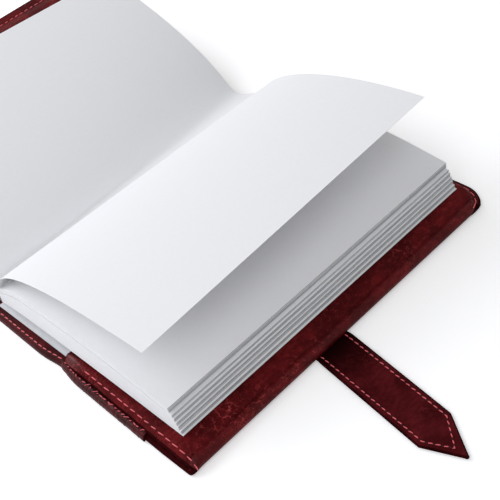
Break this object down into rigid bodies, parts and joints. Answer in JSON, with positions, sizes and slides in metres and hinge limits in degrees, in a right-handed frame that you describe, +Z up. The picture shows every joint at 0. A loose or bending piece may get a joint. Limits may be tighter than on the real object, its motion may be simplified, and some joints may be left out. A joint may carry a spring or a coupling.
{
  "type": "leather notebook",
  "caption": "Refillable leather notebook with flap pockets, card-covered page block, folding spine and front cover, turning leaves and a pointed closing strap.",
  "frame": {"origin": "centre of the back cover's underside, where the notebook lies on the table", "axes": "+X from the spine to the back cover's fore-edge, +Y along the spine from tail to head, +Z up"},
  "size_m": [0.4532, 0.2324, 0.0756],
  "materials": {
    "leather": "pull-up leather, oxblood, satin sheen on rolled edges",
    "strap_leather": "matte brushed leather, oxblood",
    "thread": "waxed polyester thread, pinkish red",
    "paper": "matte white writing paper",
    "board": "matte grey card",
    "spine_card": "matte dark grey card",
    "lining": "glued mull"
  },
  "bodies": {
    "back": {"back_panel": "leather", "back_flap": "leather", "back_flap_seam_tail": "thread", "back_flap_seam_head": "thread", "back_hem_tail": "leather", "back_hem_head": "leather", "back_hem_seam_tail": "thread", "back_hem_seam_head": "thread", "back_board": "board", "back_endpaper": "paper", "page_section_1": "paper", "page_section_2": "paper", "page_section_3": "paper", "page_section_4": "paper", "page_section_5": "paper", "page_section_6": "paper", "top_leaves": "paper", "spine_lining": "lining", "leaf_stub": "paper", "strap_root": "strap_leather"},
    "spine": {"spine_panel": "leather", "insert_spine": "spine_card", "spine_hem_tail": "leather", "spine_hem_head": "leather"},
    "front": {"front_panel": "leather", "front_flap": "leather", "front_flap_seam": "thread", "front_hem_tail": "leather", "front_hem_head": "leather", "front_hem_seam_tail": "thread", "front_hem_seam_head": "thread", "front_board": "board", "front_endpaper": "paper", "strap_keeper": "strap_leather"},
    "left_leaf": {"left_leaf": "paper"},
    "lifted_leaf": {"lifted_leaf": "paper"},
    "strap_riser": {"strap_riser": "strap_leather", "strap_riser_seam_lower": "thread", "strap_riser_seam_upper": "thread"},
    "strap_tongue": {"strap_tongue": "strap_leather", "strap_tongue_seam": "thread"}
  },
  "joints": [
    {"name": "spine_fold", "type": "hinge", "parent": "back", "child": "spine", "pos_m": [-0.0836, 0, 0.0026], "axis": [0, 1, 0], "range_deg": [0, 90]},
    {"name": "cover_fold", "type": "hinge", "parent": "spine", "child": "front", "pos_m": [-0.1146, 0, 0.0026], "axis": [0, 1, 0], "range_deg": [0, 78.5]},
    {"name": "left_leaf_turn", "type": "hinge", "parent": "back", "child": "left_leaf", "pos_m": [-0.0814, 0, 0.0154], "axis": [0, 1, 0], "range_deg": [0, 156], "deforming": ["left_leaf"]},
    {"name": "leaf_turn", "type": "hinge", "parent": "back", "child": "lifted_leaf", "pos_m": [-0.07899, 0, 0.018], "axis": [0, 1, 0], "range_deg": [-105, 0], "deforming": ["lifted_leaf"]},
    {"name": "strap_lift", "type": "hinge", "parent": "back", "child": "strap_riser", "pos_m": [0.0842, 0, 0.0026], "axis": [0, -1, 0], "range_deg": [0, 90]},
    {"name": "strap_wrap", "type": "hinge", "parent": "strap_riser", "child": "strap_tongue", "pos_m": [0.1184, 0, 0.0026], "axis": [0, -1, 0], "range_deg": [0, 90]}
  ],
  "couplings": [
    {"joint": "cover_fold", "follows": "spine_fold", "ratio": 0.8722},
    {"joint": "left_leaf_turn", "follows": "spine_fold", "ratio": 1.7333}
  ]
}
